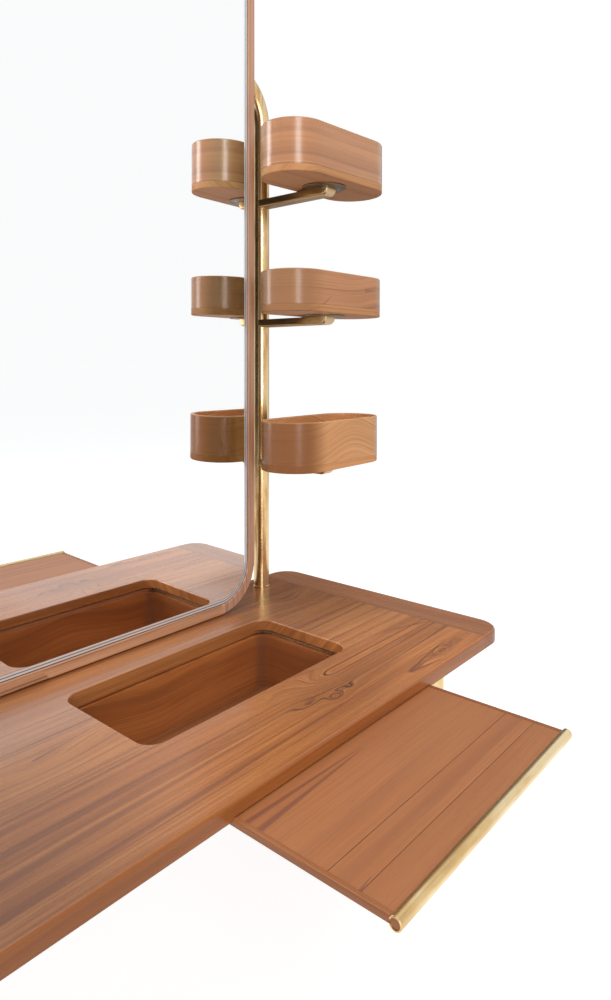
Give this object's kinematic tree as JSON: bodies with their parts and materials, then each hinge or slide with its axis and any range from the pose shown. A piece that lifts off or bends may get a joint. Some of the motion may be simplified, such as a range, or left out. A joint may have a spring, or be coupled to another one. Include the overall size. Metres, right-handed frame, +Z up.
{
  "type": "vanity table",
  "caption": "Vanity table in teak and brass with a lined well under a slide-out tray, a tall round-cornered mirror on bent posts and oval boxes that swivel on arms.",
  "frame": {"origin": "on the floor, in the middle of the whole outline seen from above", "axes": "+Z up, +X to the right of a person who sits at the table, +Y away from that person, towards the mirror"},
  "size_m": [1.2264, 0.688, 1.592],
  "materials": {
    "teak_top": "oiled teak, satin",
    "teak_tray": "oiled teak, satin",
    "teak_liner": "oiled teak, satin",
    "teak_frame": "oiled teak, satin",
    "teak_box": "oiled teak, satin",
    "hardwood": "plain sanded hardwood",
    "plywood": "sanded plywood",
    "brass_aged": "aged, unlacquered",
    "brass_satin": "satin",
    "screw_steel": "plain",
    "mirror": "silvered glass with a bevelled edge",
    "glide": "moulded"
  },
  "bodies": {
    "table": {"tabletop": "teak_top", "well_liner_walls": "teak_liner", "well_liner_floor": "teak_liner", "runner_left": "hardwood", "runner_right": "hardwood", "rear_rail": "hardwood", "runner_screws": "screw_steel", "right_post": "brass_aged", "left_post": "brass_aged", "crossbar": "brass_aged", "crossbar_spigots": "brass_aged", "post_collars": "brass_aged", "rear_flanges": "brass_aged", "front_leg_left": "brass_satin", "front_leg_right": "brass_satin", "front_flanges": "brass_satin", "flange_screws": "screw_steel", "foot_glides": "glide", "mirror_stile_left": "teak_frame", "mirror_stile_right": "teak_frame", "mirror_rail_bottom_left": "teak_frame", "mirror_rail_bottom_right": "teak_frame", "mirror_rail_top_left": "teak_frame", "mirror_rail_top_right": "teak_frame", "mirror_corner_blocks": "teak_frame", "mirror_back_panel": "plywood", "mirror_glass": "mirror", "mirror_saddles": "hardwood", "mirror_straps": "brass_aged", "mirror_foot_brackets": "brass_aged", "mirror_screws": "screw_steel", "arm_top": "brass_aged", "arm_middle": "brass_aged", "arm_lower": "brass_aged", "pivot_bolts": "brass_aged", "pivot_washers": "brass_aged"},
    "slide_tray": {"tray_board_front": "teak_tray", "tray_board_middle": "teak_tray", "tray_board_rear": "teak_tray", "tray_lip_left": "teak_tray", "tray_lip_right": "teak_tray", "tray_stop_pins": "brass_satin", "pull_rod": "brass_satin"},
    "box_top": {"box_top_wall": "teak_box", "box_top_base": "teak_box", "box_top_swivel_disc": "brass_aged", "box_top_disc_screws": "brass_satin", "box_top_bush": "brass_aged"},
    "box_middle": {"box_middle_wall": "teak_box", "box_middle_base": "teak_box", "box_middle_swivel_disc": "brass_aged", "box_middle_disc_screws": "brass_satin", "box_middle_bush": "brass_aged"},
    "box_lower": {"box_lower_wall": "teak_box", "box_lower_base": "teak_box", "box_lower_swivel_disc": "brass_aged", "box_lower_disc_screws": "brass_satin", "box_lower_bush": "brass_aged"}
  },
  "joints": [
    {"name": "tray_slide", "type": "slide", "parent": "table", "child": "slide_tray", "axis": [0, 1, 0], "range_m": [0, 0.184]},
    {"name": "box_top_swivel", "type": "hinge", "parent": "table", "child": "box_top", "pos_m": [0.47926, 0.1435, 1.1335], "axis": [0, 0, 1], "range_deg": [-17, 108]},
    {"name": "box_middle_swivel", "type": "hinge", "parent": "table", "child": "box_middle", "pos_m": [0.47926, 0.146, 0.902], "axis": [0, 0, 1], "range_deg": [-19, 106]},
    {"name": "box_lower_swivel", "type": "hinge", "parent": "table", "child": "box_lower", "pos_m": [0.47926, 0.1485, 0.6325], "axis": [0, 0, 1], "range_deg": [-22.2, 102.8]}
  ]
}
